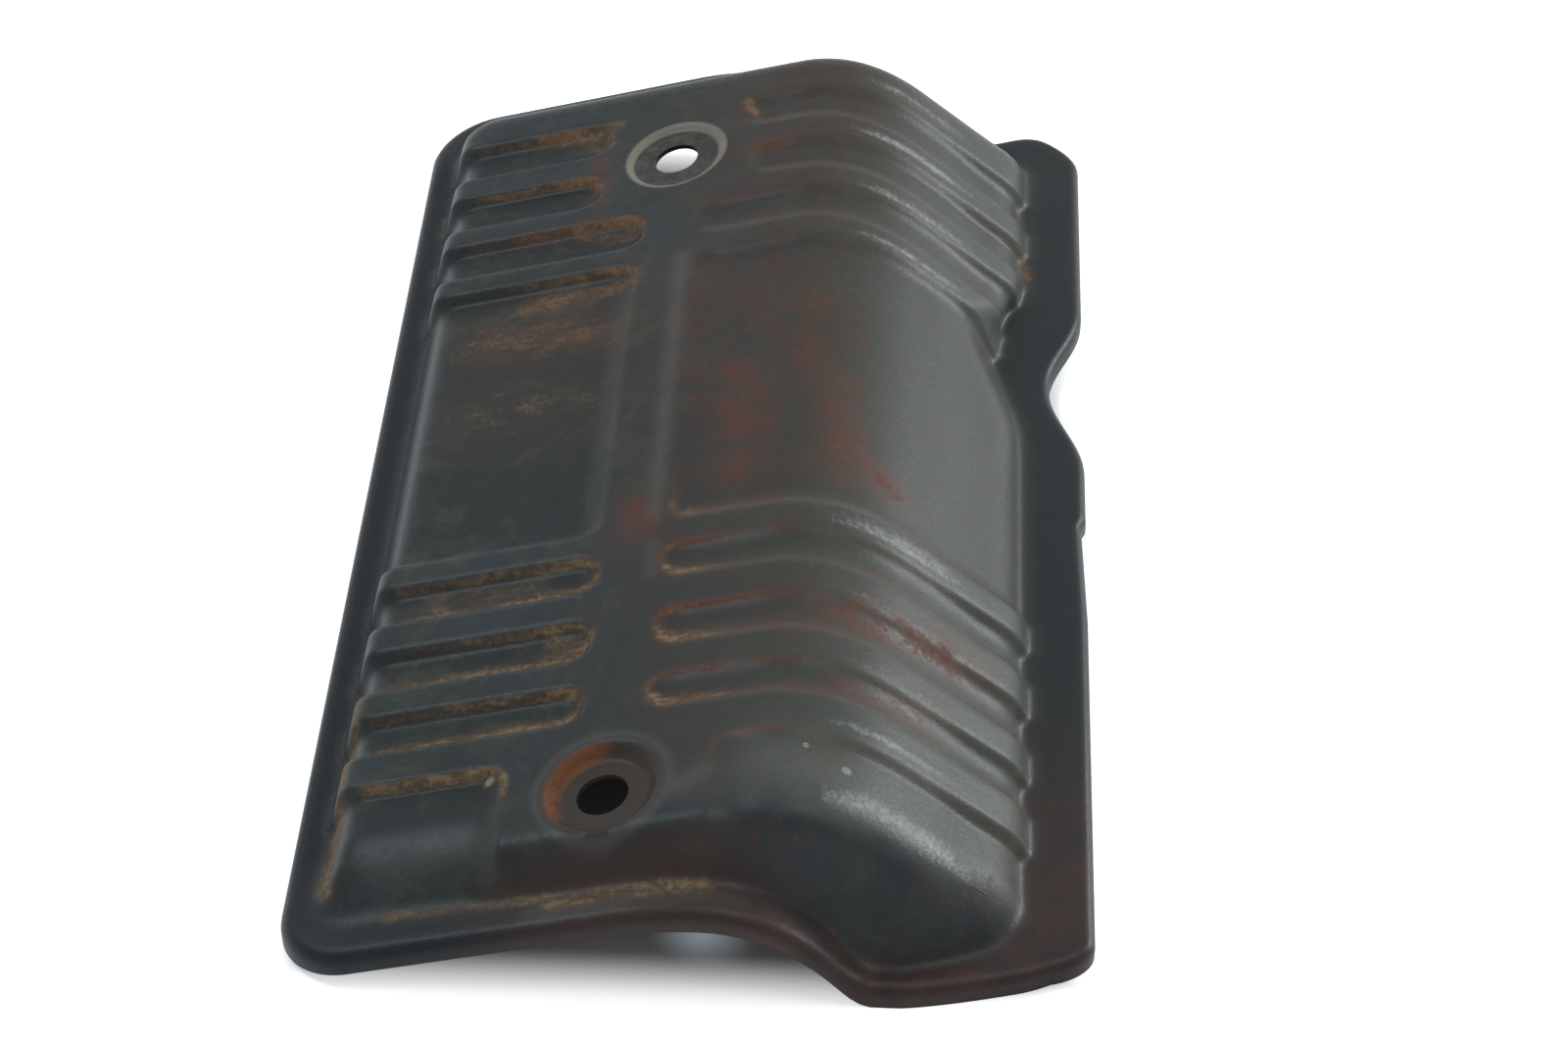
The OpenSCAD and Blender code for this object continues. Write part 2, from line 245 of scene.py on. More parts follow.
def seat_drop(x, y):
    """Depth of the two bolt seats: a smooth step between the rim and the flat."""
    return sum(depth * smooth((rim - seat_distance(x, y, k)) / (rim - flat))
               for k, (rim, flat, depth) in enumerate(zip(seat_rim, seat_flat, seat_depth)))


def panel_drop(x, y):
    """Depth of the panels; the two front ones also roll over toward the front wall."""
    rolled = np.clip((roll_from - y) / roll_run, 0, 1.2)
    return recess(x, y) * (panel_depth + front_roll * rolled ** 2)


def body_z(x, y):
    """Height of the finished crown: bead level, less the panels and the seats."""
    return crown(x) - panel_drop(x, y) - seat_drop(x, y)


middle_z = body_z(np.array([hole_x]), np.array([0.5 * (hole_y[0] + hole_y[1])]))[0]
print(f"the crown is {middle_z:.1f} mm high between the seats")

# %% [markdown]
# ## What makes the outline uneven
#
# The real outline isn't a plain rectangle. A notch in the right side clears a stud, the
# wall beside it is drawn in, the trimming die left a small step, the back right corner has
# an ear, and the front right runs back at a slant with the wall bulging after it. Each is
# a bell or a step, added in the direction in which the ring faces.

# %% Notch, step, ear, slant, bulge and drawn-in wall
def right_cut(y):
    """How far the flange's right edge moves in: the notch, and the trimmed step in front."""
    notch = 6.6 * bell((y - 36.5) / 24.0)
    trimmed = np.where(y < -2.5, 0.9 * np.clip(1 - (-2.5 - y) / 26.0, 0, 1), 0.0)
    return notch + trimmed


def ear(x):
    """How far the back edge stands out at its right end: one bell, 18 mm wide."""
    return ear_out * bell((x - 58.0) / 9.0)


def slant(x):
    """How far the front edge runs back at the right: a power of the way past x = 36."""
    return 5.5 * np.clip((x - 36.0) / 25.0, 0, 1) ** 1.3


def bulge(x):
    """How far the foot of the front wall stands out where the arch comes down: one bell."""
    return 2.5 * bell((x - 34.0) / 14.0)


def foot_pinch(y):
    """How far the foot of the right wall is drawn in beside the notch."""
    return 5.6 * bell((y - 45.0) / 27.0)


def crown_pinch(y):
    """How far the crown's right edge is drawn in: a straight run, then a step back."""
    return 8.8 * np.clip((y - 17.0) / 24.0, 0, 1) * (1 - smooth((y - 43.0) / 13.0))


# %% [markdown]
# ## The grid
#
# The whole outside of the sheet is one grid. Its outer rows form nested rings, from the
# lip's lower edge over the bend, the flange and the wall to the crown, and its inner lines
# cross the crown. One grid has no seams, so light runs over it as over pressed steel. The
# lines stand close where the panel edges and seats bend, and far apart on flat steel.

# %% Rows of the edge profile, and lines across the crown
STEPS = (("lip", 2, False), ("bend", 4, True), ("flange", 4, True), ("foot", 4, True),
         ("wall", 3, True), ("edge", 5, True))
ROWS = [("lip", 0.0)] + [(part, (n + 1) / count) for part, count, _ in STEPS for n in range(count)]
K = len(ROWS)


def graded(low, high, places, fine, coarse):
    """Lines from low to high, fine apart within reach of the places and coarse elsewhere."""
    t = np.linspace(low, high, 6000)
    near = np.max([smooth((reach - np.abs(t - at)) / 1.5) for at, reach in places], axis=0)
    count = np.cumsum(1.0 / mix(coarse, fine, near)) * (t[1] - t[0])
    whole = int(count[-1])
    return np.interp(np.linspace(0, count[-1], whole + 1), count, t)


seat_reach = 12.5
edges_x = [(hole_x, seat_reach)] + [(end, 3.2) for end in LEFT_ENDS + RIGHT_ENDS]
edges_y = [(at, seat_reach) for at in hole_y]
edges_y += [(y + side * (w / 2 + 1.1), 2.2) for y, w in BEADS for side in (-1, 1)]
edges_y += [(rim_y - 1.1, 2.2)]
clear = edge_r + panel_depth + 0.5
front_line = CROWN["front"] + edge_r + 1.3
back_line = CROWN["back"] - edge_r - back_roll - 0.8
XI = graded(CROWN["left"] + clear, CROWN["right"] - clear, edges_x, 0.55, 1.7)
YI = graded(front_line, back_line, edges_y, 0.5, 1.9)
NX, NY = len(XI) + 2 * K, len(YI) + 2 * K
print(f"{K} rows round the edge, {NX} x {NY} grid lines")

# %% [markdown]
# ## Rings with round corners
#
# A ring point keeps its place along the side until it comes within a radius of the corner,
# and is then laid on the arc. Half of the arc belongs to each side, so a corner of the grid
# sits at the middle of it. The outward direction comes along, because the notch, the ear
# and the panels move points in that direction.

# %% Ring points
def along(index, count, k, low, high, lines):
    """Place along a side of ring k: the inner lines, spread out evenly beyond their ends."""
    first = mix(low, lines[0], (index - k) / (K - k))
    last = mix(high, lines[-1], (count - 1 - index - k) / (K - k))
    inner = lines[np.clip(index - K, 0, len(lines) - 1)]
    return np.where(index < K, first, np.where(count - 1 - index < K, last, inner))


def ring_point(i, j, k, ring, inset=0.0):
    """Plan place x, y and outward direction nx, ny of grid places i, j on ring k."""
    left, right = ring["left"] + inset, ring["right"] - inset
    back, front = ring["back"] - inset, ring["front"] + inset
    x = along(i, NX, k, left, right, XI)
    y = along(j, NY, k, front, back, YI)
    upright = (i == k) | (NX - 1 - i == k)
    level = (j == k) | (NY - 1 - j == k)
    cx = np.where(i < NX / 2, -1.0, 1.0)
    cy = np.where(j < NY / 2, -1.0, 1.0)
    side_x = np.where(cx < 0, left, right)
    side_y = np.where(cy < 0, front, back)
    corner = np.where(cy > 0, np.where(cx < 0, 0, 1), np.where(cx < 0, 2, 3))
    radius = np.maximum(np.array(ring["radii"]) - inset, 0.5)[corner]
    s = np.where(upright & level, 0.0, np.where(upright, np.abs(side_y - y), np.abs(side_x - x)))
    angle = np.radians(45.0) * (1 + s / radius)
    on_upright = upright & ~level
    ax = np.where(on_upright, np.sin(angle), np.cos(angle))
    ay = np.where(on_upright, np.cos(angle), np.sin(angle))
    round_part = s < radius
    x = np.where(round_part, side_x + cx * radius * (ax - 1), np.where(upright, side_x, x))
    y = np.where(round_part, side_y + cy * radius * (ay - 1), np.where(level, side_y, y))
    nx = np.where(round_part, cx * ax, np.where(upright, cx, 0.0))
    ny = np.where(round_part, cy * ay, np.where(level, cy, 0.0))
    return x, y, nx, ny


# %% [markdown]
# ## From the lip to the crown
#
# Each row of the profile is one short rule. The bend is a quarter circle. The foot and the
# crown's edge are quadratic curves, which is how sheet flows over a die radius. A panel
# that opens over the wall draws the wall in with it, so the ends of the beads stand out as
# small buttresses, as they do on the real pressing.

# %% The lip and the bend
def lip_point(i, j, k, part, t):
    """Rows of the lip and the bend: straight up, then a quarter circle inward."""
    inset = bend_r * (1 - np.cos(t * np.pi / 2)) if part == "bend" else 0.0
    x, y, nx, ny = ring_point(i, j, k, OUTER, inset)
    x = x - right_cut(y) * np.maximum(nx, 0)
    y = y + ear(x) * np.maximum(ny, 0) + slant(x) * np.maximum(-ny, 0)
    if part == "lip":
        z = flange_z(x, y) - mix(lip_h, bend_r, t)
    else:
        z = flange_z(x, y) - bend_r * (1 - np.sin(t * np.pi / 2))
    return np.stack([x, y, z], axis=-1)


# %% The flange, the foot, the wall and the crown's edge
def wall_point(i, j, k, part, t):
    """Rows from the flange to the crown, on lines between the wall's foot and its top."""
    x, y, nx, ny = ring_point(i, j, k, CROWN)
    tx = x - crown_pinch(y) * np.maximum(nx, 0)
    depth = panel_depth * recess(tx, y)
    inward = depth * (1.0 - 0.6 * np.maximum(-ny, 0))
    out = np.stack([nx, ny, 0 * nx], axis=-1)
    top = np.stack([tx - nx * inward, y - ny * inward, 0 * tx], axis=-1)
    top[..., 2] = crown(top[..., 0]) - panel_drop(top[..., 0], top[..., 1])
    x, y, _, _ = ring_point(i, j, k, FOOT)
    follow = inward * mix(0.35, 0.8, np.maximum(nx, 0))
    fx = x - foot_pinch(y) * np.maximum(nx, 0) - nx * follow
    fy = y - bulge(x) * np.maximum(-ny, 0) - ny * follow
    foot = np.stack([fx, fy, flange_z(fx, fy)], axis=-1)
    start = foot + out * foot_r
    start[..., 2] = flange_z(start[..., 0], start[..., 1])
    end = top - out * (edge_r + back_roll * np.maximum(ny, 0))[..., None]
    end[..., 2] = crown(end[..., 0]) - panel_drop(end[..., 0], end[..., 1])
    height = np.linalg.norm(top - foot, axis=-1)[..., None]
    low = mix(foot, top, np.minimum(foot_r / height, 0.45))
    high = mix(top, foot, np.minimum(edge_r / height, 0.5))
    if part == "flange":
        outer = lip_point(i, j, k, "bend", 1.0)
        place = mix(outer, start, t)
        place[..., 2] = flange_z(place[..., 0], place[..., 1])
        return place
    if part == "foot":
        return turn(start, foot, low, t)
    if part == "wall":
        return mix(low, high, t)
    place = turn(high, top, end, t)
    place[..., 2] -= seat_drop(place[..., 0], place[..., 1])
    return place


# %% The outside of the sheet
def outside_grid():
    """Every point of the outer face: inner lines on the crown, then ring after ring."""
    i, j = np.meshgrid(np.arange(NX), np.arange(NY), indexing="ij")
    ring = np.minimum(np.minimum(i, NX - 1 - i), np.minimum(np.minimum(j, NY - 1 - j), K))
    x = XI[np.clip(i - K, 0, len(XI) - 1)]
    y = YI[np.clip(j - K, 0, len(YI) - 1)]
    x = x - crown_pinch(y) * np.clip((x - 20.0) / (XI[-1] - 20.0), 0, 1)
    grid = np.stack([x, y, body_z(x, y)], axis=-1)
    for k, (part, t) in enumerate(ROWS):
        here = ring == k
        rule = lip_point if part in ("lip", "bend") else wall_point
        grid[here] = rule(i[here], j[here], k, part, t)
    return grid, ring


outside, ring_of = outside_grid()
points = outside.reshape(-1, 3)
print("outside spans", points.min(0).round(1), points.max(0).round(1))

# %% [markdown]
# ## The thickness of the sheet, and the bolt holes
#
# The inside is the outside moved one sheet thickness against its direction. Where a bead
# is sharper than the sheet is thick, that would fold, so the directions are smoothed first,
# as the metal does when it is pressed. The holes are cut in the grid itself: cells inside a
# hole go, and the points round it are drawn onto its circle. A wall then joins both faces
# along every open edge, round the lip and in the two holes.

# %% The inside, and the cut for the holes
def directions(grid, passes=3):
    """Unit direction out of the sheet: the cross product of both grid slopes, smoothed."""
    n = np.cross(np.gradient(grid, axis=0), np.gradient(grid, axis=1))
    n /= np.linalg.norm(n, axis=-1, keepdims=True) + 1e-9
    for _ in range(passes):
        for axis in (0, 1):
            padded = np.pad(n, [(1, 1) if a == axis else (0, 0) for a in range(3)], mode="edge")
            before = np.take(padded, range(n.shape[axis]), axis)
            after = np.take(padded, range(2, n.shape[axis] + 2), axis)
            n = (before + 2 * n + after) / 4
    n[ring_of == 0, 2] = 0.0
    return n / (np.linalg.norm(n, axis=-1, keepdims=True) + 1e-9)


centre = (outside[:-1, :-1] + outside[1:, 1:]) / 2
kept = np.ones(centre.shape[:2], bool)
for k in (0, 1):
    kept &= seat_distance(centre[..., 0], centre[..., 1], k) > hole_r
used = np.zeros((NX, NY), bool)
cut = np.zeros((NX, NY), bool)
for di in (0, 1):
    for dj in (0, 1):
        corner = (slice(di, NX - 1 + di), slice(dj, NY - 1 + dj))
        used[corner] |= kept
        cut[corner] |= ~kept
on_circle = used & cut
for k in (0, 1):
    x, y = outside[..., 0], outside[..., 1]
    d = seat_distance(x, y, k)
    move = on_circle & (d < 3 * hole_r)
    pull = hole_r / d[move]
    outside[move, 0] = hole_x + (x[move] - hole_x) * pull
    outside[move, 1] = hole_y[k] + (y[move] - hole_y[k]) * pull
    outside[move, 2] = body_z(outside[move, 0], outside[move, 1])
inside = outside - sheet_t * directions(outside)
print(int((~kept).sum()), "cells cut for the holes,", int(on_circle.sum()), "points on their edges")

# %% [markdown]
# ## What the weather knows about the shape, and where light is painted
#
# Dust stays on the sloping edges of the panels, most of it near the spine, so it draws
# their outlines. Rust starts where heat broke the paint, and the front edges of the right
# beads are worn pale. A few pale bands are painted highlights: on rounded edges, stored with
# the film, and along the front right edge, stored with the wear. The material can't see the
# shape, so the script measures these places and stores them on the mesh as attributes. For
# each panel, from back to front, a pair says how much lies along its back edge and along its
# front edge.

# %% Outlines and single marks
LEFT_DUST = ((0.9, 0.1), (0.95, 0.1), (1.0, 0.1), (0.8, 0.1),
             (0.75, 1.15), (0.65, 1.15), (0.75, 1.25), (0.95, 0.0))
RIGHT_DUST = ((0.2, 0.1), (0.2, 0.1), (0.1, 0.1), (0.0, 0.6),
              (0.3, 0.95), (0.4, 1.1), (0.45, 1.1), (0.4, 0.0))
RIGHT_RUST = ((0.6, 0.1), (0.6, 0.1), (0.6, 0.1), (0.5, 0.6),
              (0.9, 0.6), (1.2, 0.9), (1.0, 0.9), (0.6, 0.0))
front_panel_y = -107.0
back_in, front_in = 1.0, 2.5
back_half, front_half = 0.95, 1.35


def outlines(x, y, side, weights, reach):
    """A line on the panel edges of one side: back and front weight for each panel.

    Across the edge it is exp(-(d / half width) squared), d from a line back_in or front_in
    inside it. It fades with the distance from the panel's end as exp(-distance / reach), and
    away from its corners."""
    depths = panel_depths(x, y)[side::2]
    total = np.zeros_like(x)
    for panel, d, (back, front) in zip(PANELS, depths, weights):
        first = max(panel[0], front_panel_y)
        middle = (first + panel[1]) / 2
        corners = np.exp(-np.maximum(np.minimum(y - first, panel[1] - y) - 6.0, 0.0) / 5.0)
        to_back = smooth((y - middle) / 3.0 + 0.5)
        fade = np.exp(-np.maximum(np.abs(x - panel[2 + side]) - 5.0, 0.0) / reach)
        away = d - mix(front_in, back_in, to_back)
        line = np.exp(-(away / mix(front_half, back_half, to_back)) ** 2)
        total = np.maximum(total, mix(front, back, to_back) * fade * corners * line)
    return total


def marks(x, y, lines):
    """Soft lines from x0, y0 to x1, y1, each with a half width and a strength.

    The value is strength times exp(-(distance from the line / half width) squared)."""
    total = np.zeros_like(x)
    for x0, y0, x1, y1, half, strength in lines:
        run = (x1 - x0) ** 2 + (y1 - y0) ** 2 + 1e-6
        t = np.clip(((x - x0) * (x1 - x0) + (y - y0) * (y1 - y0)) / run, 0, 1)
        away = np.hypot(x - mix(x0, x1, t), y - mix(y0, y1, t))
        total = np.maximum(total, strength * np.exp(-(away / half) ** 2))
    return total


# %% [markdown]
# Each mark is a place seen on the real shield: dust that washed into a corner, a run of
# rust across a panel, a grey film where the paint is rubbed, the dirt along the foot of the
# wall. Some film marks are painted highlights instead: pale bands on the ends of two right
# panels, on the front of the spine and on the front left roll, where light catches the
# rounded steel. The lobe marks lay a painted highlight over worn paint. One short line is x
# and y of its start, x and y of its end, half width and strength.

# %% Measures for the material
DUST_MARKS = (
    (-44, 92.8, -27, 92.6, 1.8, 0.8), (-33, 89.0, -28, 86.0, 2.2, 0.5),
    (-31, 58.5, -21, 56.0, 2.6, 0.55), (-40, 39.0, -21, 40.5, 4.5, 0.62),
    (-50, 31.0, -25, 27.0, 9.0, 0.46), (-48, 10.0, -30, 6.0, 14.0, 0.34),
    (-50, -42.0, -30, -43.0, 2.4, 0.5), (-26, -58.0, -20.5, -60.5, 2.6, 0.7),
    (-34, -90.6, -32, -90.4, 0.9, 1.0), (-0.5, 92.5, 1.5, 87.5, 1.3, 0.75),
    (-50, -112.0, 5, -113.5, 1.4, 0.62), (-22, -114.3, 3, -113.0, 1.8, 0.75),
    (-60.6, -106, -60.2, -60, 1.5, 0.7), (-61, -104, -60.5, -90, 2.0, 0.8),
    (56.5, 75.5, 57.5, 70.0, 1.5, 0.6))
RUST_MARKS = (
    (2.5, 7.0, 4.0, -20.0, 6.0, 0.75), (7.5, -8.0, 7.0, -20.0, 5.0, 0.5),
    (12, 15, 21, 0, 6.0, 0.6), (22, -4.0, 23, -18.0, 6.0, 0.62),
    (26, -17.0, 32, -23.0, 4.0, 0.9), (18, -21.0, 22, -24.0, 4.0, 0.6),
    (-13.5, -28, -13.0, -36, 5.0, 0.7), (6, 30, 14, 22, 9.0, 0.45),
    (-29.5, 80, -29.0, 67.5, 2.2, 0.8), (-45, 60.2, -27, 60.6, 1.5, 0.7),
    (-44, 30, -26, 27, 6.0, 0.45), (20, -60, 44, -55.5, 5.0, 0.75),
    (26, -77, 42, -73, 4.0, 0.55), (2.2, 76.0, 8.0, 76.5, 2.2, 0.9),
    (58, -112, 62, -80, 9.0, 0.18), (14, -117.5, 50, -116, 4.0, 0.35),
    (-6, 40, -5, 0, 6.0, 0.35))
# Film lines: those near x = -10 at the ends of two right panels, at the front of the spine and on
# the front left roll are painted highlights; the patch on the lobe is rubbed film and painted
# highlight together; the line along the front flange is grey film.
FILM_AND_HIGHLIGHT_MARKS = (
    (-10.8, 44, -10.6, -31, 1.7, 0.45), (-10.2, -39, -10.2, -46, 1.5, 0.35),
    (14, -95, 27, -99, 7.0, 0.6), (-1.0, -99.0, 3.0, -96.0, 2.5, 0.4),
    (-25, -115.6, 30, -114.6, 2.0, 0.35), (-51.3, -103.2, -36.0, -102.2, 3.5, 0.42))
# Worn paint along the front right edge's roll, laid where the lamp's highlight falls and made pale
# enough to be a painted highlight as well.
LOBE_WEAR_AND_HIGHLIGHT = (
    (24.0, -101.2, 35.0, -100.6, 2.8, 0.9), (35.0, -100.6, 43.0, -101.3, 2.8, 0.95),
    (43.0, -101.3, 45.5, -101.6, 2.6, 0.8))
WORN_EDGES = ((97.4, 0.8), (80.0, 1.0), (62.4, 1.0), (46.6, 0.9), (-36.6, 0.9),
              (-34.6, 0.7), (-53.6, 0.55), (-70.2, 0.6), (-85.6, 0.8))
worn_half = 1.5
print(len(DUST_MARKS), "dust marks,", len(RUST_MARKS), "rust marks")

# %% Everything the material reads
def worn_and_highlight(x, y):
    """The pale worn strip on each right bead, from crest to shoulder, and the front right edge,
    where worn paint is also a painted highlight.
    """
    span = smooth((x - 14.0) / 16.0) * (1 - smooth((x - 40.0) / 12.0))
    strips = [weight * np.exp(-((y - at) / worn_half) ** 2) for at, weight in WORN_EDGES]
    return np.maximum(span * np.max(strips, axis=0), marks(x, y, LOBE_WEAR_AND_HIGHLIGHT))


gx, gy = outside[..., 0], outside[..., 1]
on_crown = smooth((ring_of - K + 4) / 4.0)
last_flange_row = 9
left_reach = np.where(gy > 20.0, 28.0, 70.0)
right_reach, rust_reach = 14.0, 30.0
dust_lines = np.maximum(outlines(gx, gy, 0, LEFT_DUST, left_reach),
                        outlines(gx, gy, 1, RIGHT_DUST, right_reach))
rust_lines = outlines(gx, gy, 1, RIGHT_RUST, rust_reach)
measures = {
    "dust": np.maximum(dust_lines * on_crown, marks(gx, gy, DUST_MARKS)),
    "rust": np.maximum(rust_lines * on_crown, marks(gx, gy, RUST_MARKS)),
    "wear_and_highlight": worn_and_highlight(gx, gy) * on_crown,
    "flange": np.clip(1 - (ring_of - last_flange_row) / 5.0, 0, 1),
    "sunk": recess(gx, gy) * on_crown,
    "film_and_highlight": marks(gx, gy, FILM_AND_HIGHLIGHT_MARKS),
}
print("dust covers", f"{(measures['dust'] > 0.5).mean():.0%}", "of the grid")

# %% [markdown]
# ## The mesh
#
# Both faces, and the walls that join them, go into one mesh with `foreach_set`. A wall
# stands on each edge that only one kept cell uses. Shading is smooth except where two
# faces meet at a real corner, which is along the lip's cut edge and in the holes.

# %% One closed piece
def sheet_piece(name, outer, inner, keep, attributes):
    """Quads of the kept cells on both faces, and a quad on every open edge between them."""
    index = np.arange(outer.shape[0] * outer.shape[1]).reshape(outer.shape[:2])
    count = index.size
    quads = np.stack([index[:-1, :-1], index[1:, :-1], index[1:, 1:], index[:-1, 1:]], -1)[keep]
    a, b = quads.ravel(), np.roll(quads, -1, axis=1).ravel()
    open_edge = ~np.isin(a * count + b, b * count + a)
    a, b = a[open_edge], b[open_edge]
    walls = np.stack([b, a, a + count, b + count], -1)
    faces = np.concatenate([quads, quads[:, ::-1] + count, walls])
    points = np.concatenate([outer.reshape(-1, 3), inner.reshape(-1, 3)]) * MM
    present, faces = np.unique(faces, return_inverse=True)
    faces = faces.reshape(-1, 4)
    mesh = bpy.data.meshes.new(name)
    mesh.vertices.add(len(present))
    mesh.vertices.foreach_set("co", points[present].ravel())
    mesh.loops.add(faces.size)
    mesh.loops.foreach_set("vertex_index", faces.ravel().astype(np.int32))
    mesh.polygons.add(len(faces))
    mesh.polygons.foreach_set("loop_start", np.arange(0, faces.size, 4, dtype=np.int32))
    mesh.update(calc_edges=True)
    for label, values in attributes.items():
        both = np.concatenate([values[0].ravel(), values[1].ravel()])[present]
        stored = mesh.attributes.new(label, "FLOAT", "POINT")
        stored.data.foreach_set("value", both.astype(np.float32))
    mesh.polygons.foreach_set("use_smooth", np.ones(len(faces), bool))
    mesh.set_sharp_from_angle(angle=np.radians(50.0))
    mesh.validate()
    piece = bpy.data.objects.new(name, mesh)
    bpy.context.collection.objects.link(piece)
    return piece


nothing = np.zeros((NX, NY))
attributes = {name: (values, nothing) for name, values in measures.items()}
attributes["inner_face"] = (nothing, nothing + 1.0)
shield = sheet_piece("heat_shield_pressing", outside, inside, kept, attributes)
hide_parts("heat_shield")
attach(shield, "root")
print(len(shield.data.polygons) * 2, "triangles in one closed sheet")

# %% [markdown]
# ## Writing shader maths as Python
#
# A material is arithmetic on values that change over the surface. Wiring each Math node by
# hand hides the formula, so a small class wraps an output socket and adds the node for each
# operator. Colours never pass through it: they go through the Mix node.

# %% A socket that can be calculated with
class Signal:
    """One output socket. Operators on it add Math nodes to its material."""

    def __init__(self, graph, socket):
        self.graph = graph
        self.socket = socket

    def _math(self, operation, first, second):
        return self.graph.node("ShaderNodeMath", dict(operation=operation), {0: first, 1: second})

    def __add__(self, other):
        return self._math("ADD", self, other)

    def __sub__(self, other):
        return self._math("SUBTRACT", self, other)

    def __rsub__(self, other):
        return self._math("SUBTRACT", other, self)

    def __mul__(self, other):
        return self._math("MULTIPLY", self, other)

    def __truediv__(self, other):
        return self._math("DIVIDE", self, other)

    def __pow__(self, other):
        return self._math("POWER", self, other)

    def most(self, other):
        """The greater of two values at each point."""
        return self._math("MAXIMUM", self, other)

    def size(self):
        """The value without its sign."""
        return self._math("ABSOLUTE", self, 0.0)

    def step(self, low, high):
        """Smooth step from 0 at low to 1 at high."""
        return self.graph.node("ShaderNodeMapRange", dict(interpolation_type="SMOOTHSTEP"),
                               {"Value": self, "From Min": low, "From Max": high})

    __radd__ = __add__
    __rmul__ = __mul__


# %% A material that makes its own nodes
class Material:
    """A material whose nodes all come from one method."""

    def __init__(self, name):
        self.data = bpy.data.materials.new(name)
        self.data.use_nodes = True
        self.tree = self.data.node_tree
        self.tree.nodes.clear()

    def node(self, kind, settings=None, inputs=None, output=0):
        """Adds a node, sets it up, fills or links its sockets, and gives back one output."""
        made = self.tree.nodes.new(kind)
        for key, value in (settings or {}).items():
            setattr(made, key, value)
        for key, value in (inputs or {}).items():
            if isinstance(value, Signal):
                self.tree.links.new(value.socket, made.inputs[key])
            else:
                made.inputs[key].default_value = value
        return Signal(self, made.outputs[output]) if made.outputs else None

    def attribute(self, name):
        """A value that the mesh carries at each of its points."""
        return self.node("ShaderNodeAttribute", dict(attribute_name=name), output="Fac")

    def colour(self, share, first, second):
        """The first colour, going over to the second as share goes from 0 to 1."""
        return self.node("ShaderNodeMix", dict(data_type="RGBA", blend_type="MIX"),
                         {0: share, 6: first, 7: second}, output=2)

    def noise(self, place, size, detail=3.0, roughness=0.6, warp=0.0):
        """Noise whose features are about size millimetres wide."""
        return self.node("ShaderNodeTexNoise", {},
                         {"Vector": place, "Scale": 1.0 / size, "Detail": detail,
                          "Roughness": roughness, "Distortion": warp}, output="Fac")


# %% [markdown]
# ## Painted steel that has been hot
#
# The base is thin black heat-resistant paint: blue-black on the left, brown along the crest,
# grey-green down the right slope, and darkest on the flange. The panels' floors are made
# darker still as painted shade in the recesses. A grey film lies where it is rubbed, and
# painted highlights lie as pale bands on a few rounded edges and round the front seat's rim.
# Rust comes through where heat and stones broke the paint: in patches on the slope, on the
# beads and round the front seat. Dust is baked into the edges of the panels, the edges of the
# right beads are worn pale, the worn front right edge also carries a painted highlight, and
# the inside is sooty.
#
# All grain comes from noise in the object's own millimetres, at five sizes from large clouds
# to grit, so it keeps its size on every panel.

# %% Places and grain
steel = Material("weathered_paint")
here = steel.node("ShaderNodeTexCoord", output="Object")
place = steel.node("ShaderNodeVectorMath", dict(operation="SCALE"), {0: here, "Scale": 1 / MM})
split = steel.node("ShaderNodeSeparateXYZ", {}, {0: place})
px, py = (Signal(steel, split.socket.node.outputs[n]) for n in (0, 1))
cloud = steel.noise(place, 28.0, 4.0)
mottle = steel.noise(place, 6.0, 5.0, 0.65)
speck = steel.noise(place, 1.1, 4.0, 0.7)
grit = steel.noise(place, 0.45, 2.0, 0.6)
stain = steel.noise(place, 11.0, 6.0, 0.7, 0.6)
along_x = (0.3, 1.0, 1.0)
long_way = steel.node("ShaderNodeVectorMath", dict(operation="MULTIPLY"), {0: place, 1: along_x})
streak = steel.noise(long_way, 2.6, 5.0, 0.65)
print("grain: cloud, stain, mottle, streak, speck and grit")

# %% [markdown]
# The masks come next. Each is a slow shape and a quick grain added up and pushed through a
# smooth step, so that it breaks up into flakes and specks at its border and never fades
# evenly. The dust's grain is drawn out along the panels, because rain washed it that way.

# %% Rust, dust and wear masks
dust = steel.attribute("dust")
rust = steel.attribute("rust")
wear_and_highlight = steel.attribute("wear_and_highlight")
flange = steel.attribute("flange")
sunk = steel.attribute("sunk")
film_and_highlight = steel.attribute("film_and_highlight")
inner = steel.attribute("inner_face")
dust_mask = (dust * 1.1 + mottle * 0.5 + streak * 0.8 + speck * 0.6).step(1.25, 2.0)
rust_mask = (rust * 0.8 + mottle * 1.5 + speck * 0.9).step(1.55, 2.2)
wear_and_highlight_mask = (wear_and_highlight * 0.75 + speck * 1.2 + mottle * 0.6).step(1.15, 2.0)
front_low = (1.0 - py.step(-110.5, -104.0)) * px.step(-45.0, -15.0) * (1.0 - px.step(0.0, 30.0))
red_corner = flange * (px * 0.6 - py * 0.6).step(55.0, 105.0)
right_side = px.step(-40.0, 24.0)
scatter = (speck * 1.2 + mottle * 0.5 + right_side * 0.1).step(0.98, 1.2)
shoulder = 1.0 - (px + 58.2).size().step(0.4, 2.0)
# The pale band down the left shoulder, where the panels meet the wall, is a painted highlight: the
# reflection of the white table on that slope.
shoulder_highlight = sunk * shoulder * py.step(-150.0, 60.0) * mottle.step(0.4, 0.65)
chips = [1.0 - (((px - x) / r) ** 2.0 + ((py - y) / r) ** 2.0).step(0.3, 1.0)
         for x, y, r in ((19.3, -91.7, 0.7), (26.1, -95.2, 1.0), (-34.0, -90.4, 1.0))]
print(len(steel.tree.nodes), "nodes after the masks")

